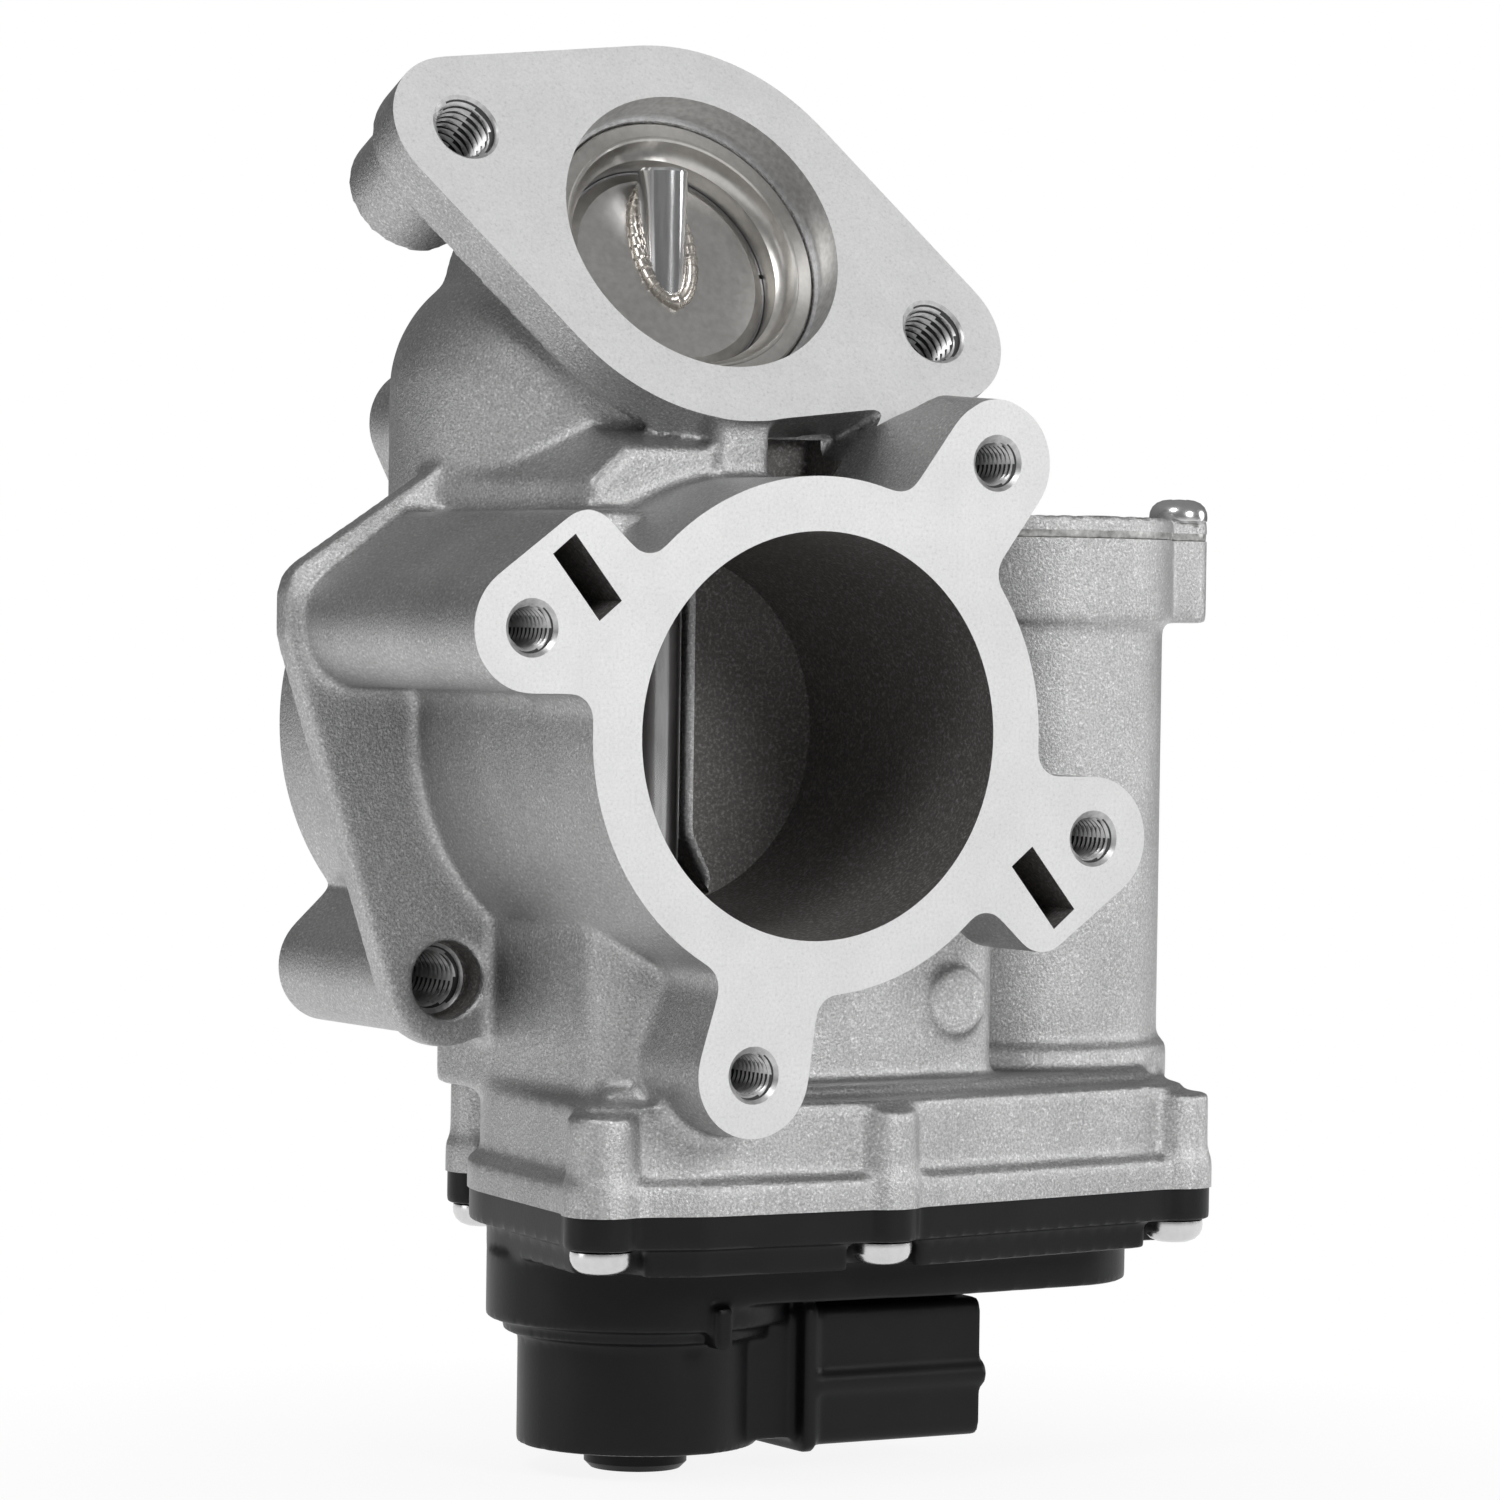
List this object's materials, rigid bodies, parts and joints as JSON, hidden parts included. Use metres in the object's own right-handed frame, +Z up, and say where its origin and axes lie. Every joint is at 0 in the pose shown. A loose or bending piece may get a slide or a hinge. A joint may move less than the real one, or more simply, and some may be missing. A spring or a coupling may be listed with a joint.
{
  "type": "exhaust gas recirculation valve",
  "caption": "Motor-driven exhaust gas recirculation valve with a swing flap in a tilted flange, a cast body and a black gear cover with a plug.",
  "frame": {"origin": "centre of the main port on its flange face", "axes": "+X towards the motor, +Y from the main flange into the body, +Z up along the valve shaft"},
  "size_m": [0.1304, 0.08, 0.1819],
  "materials": {
    "cast_aluminium": "as-cast with machined faces",
    "seat_steel": "turned, heat tinted",
    "flap_steel": "turned, heat tinted",
    "bright_steel": "ground",
    "bearing_steel": "polished",
    "spring_steel": "drawn",
    "zinc_steel": "zinc plated",
    "screw_chrome": "polished",
    "sintered_bronze": "sintered",
    "brass": "satin",
    "copper": "enamelled",
    "gear_plastic": "moulded",
    "black_plastic": "moulded",
    "board_green": "satin",
    "black_rubber": "matte",
    "magnet_grey": "ground",
    "carbon": "matte"
  },
  "bodies": {
    "housing": {"valve_body": "cast_aluminium", "seat_ring": "seat_steel", "shaft_bush": "sintered_bronze", "shaft_seal": "black_rubber", "bearing_outer_race": "bearing_steel", "bearing_balls": "bearing_steel", "return_spring": "spring_steel", "sensor_board": "board_green", "dome_plug": "black_plastic", "intermediate_axle": "bright_steel", "motor_can": "zinc_steel", "motor_magnets": "magnet_grey", "brush_holder": "black_plastic", "carbon_brushes": "carbon", "motor_bushes": "sintered_bronze", "motor_terminals": "brass", "wave_spring": "spring_steel", "cap_seal": "black_rubber", "motor_cap_plate": "zinc_steel", "cap_screws": "screw_chrome", "gearbox_cover": "black_plastic", "cover_gasket": "black_rubber", "cover_screws": "screw_chrome", "connector_pins": "brass"},
    "valve": {"valve_shaft": "bright_steel", "flap_disc": "flap_steel", "flap_sealing_ring": "spring_steel", "bearing_inner_race": "bearing_steel", "sector_gear": "gear_plastic", "sensor_magnet": "magnet_grey"},
    "double_wheel": {"intermediate_gear": "gear_plastic"},
    "rotor": {"motor_shaft": "bright_steel", "motor_pinion": "brass", "armature_core": "zinc_steel", "armature_windings": "copper", "commutator": "copper"}
  },
  "joints": [
    {"name": "valve_turn", "type": "hinge", "parent": "housing", "child": "valve", "pos_m": [0, 0.041, 0], "axis": [0, 0, 1], "range_deg": [0, 75], "stiffness_Nm_per_rad": 0.05},
    {"name": "wheel_turn", "type": "hinge", "parent": "housing", "child": "double_wheel", "pos_m": [0.033, 0.041, -0.055], "axis": [0, 0, 1], "range_deg": [-340, 2]},
    {"name": "motor_turn", "type": "hinge", "parent": "housing", "child": "rotor", "pos_m": [0.0546, 0.041, 0], "axis": [0, 0, 1], "range_deg": [-2, 1185]}
  ],
  "couplings": [
    {"joint": "wheel_turn", "follows": "valve_turn", "ratio": -4.5},
    {"joint": "motor_turn", "follows": "valve_turn", "ratio": 15.75}
  ]
}
